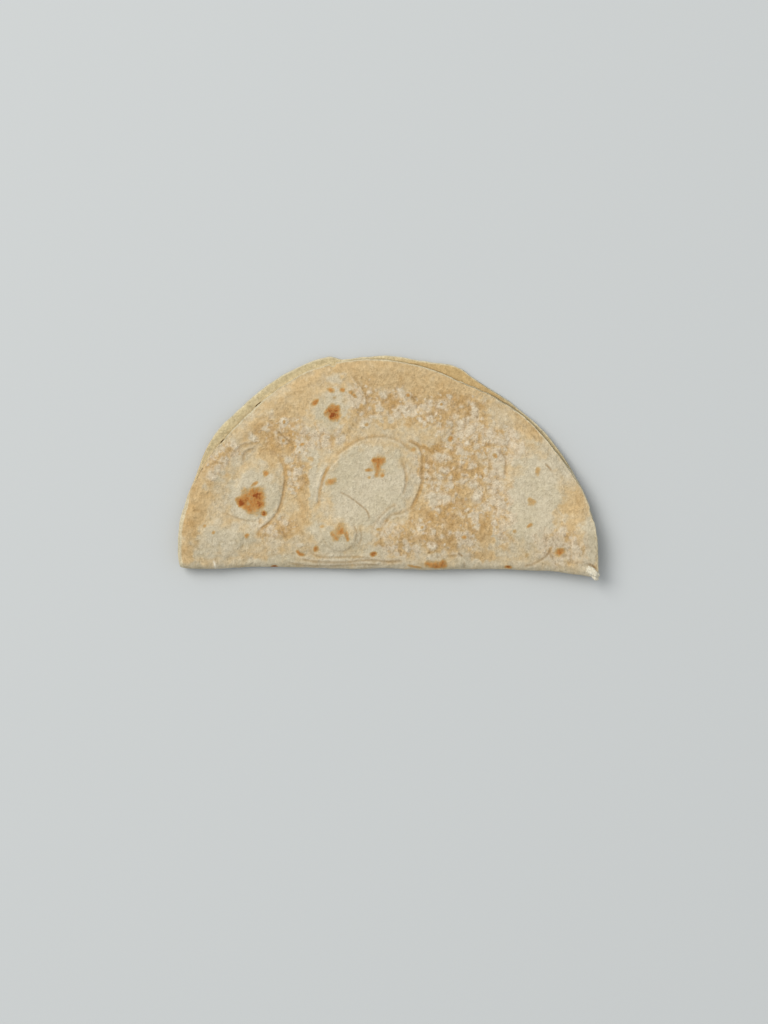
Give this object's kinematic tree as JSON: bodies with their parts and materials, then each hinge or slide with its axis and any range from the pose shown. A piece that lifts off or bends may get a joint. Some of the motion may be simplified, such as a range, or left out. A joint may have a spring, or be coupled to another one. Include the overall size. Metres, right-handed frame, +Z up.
{
  "type": "folded whole wheat tortilla",
  "caption": "Round wheat tortilla folded once into a half disc, with a rounded fold at the front, raised blisters and uneven rims that part a little at the back.",
  "frame": {"origin": "middle of the bounding box's underside, on the surface that the tortilla lies on", "axes": "+X along the fold, +Y from the fold at the front towards the loose rims at the back, +Z up"},
  "size_m": [0.2517, 0.1325, 0.014],
  "materials": {
    "baked_dough": "matte baked dough, pale with toasted tan patches and small brown spots"
  },
  "bodies": {
    "root": {"tortilla": "baked_dough"}
  },
  "joints": []
}
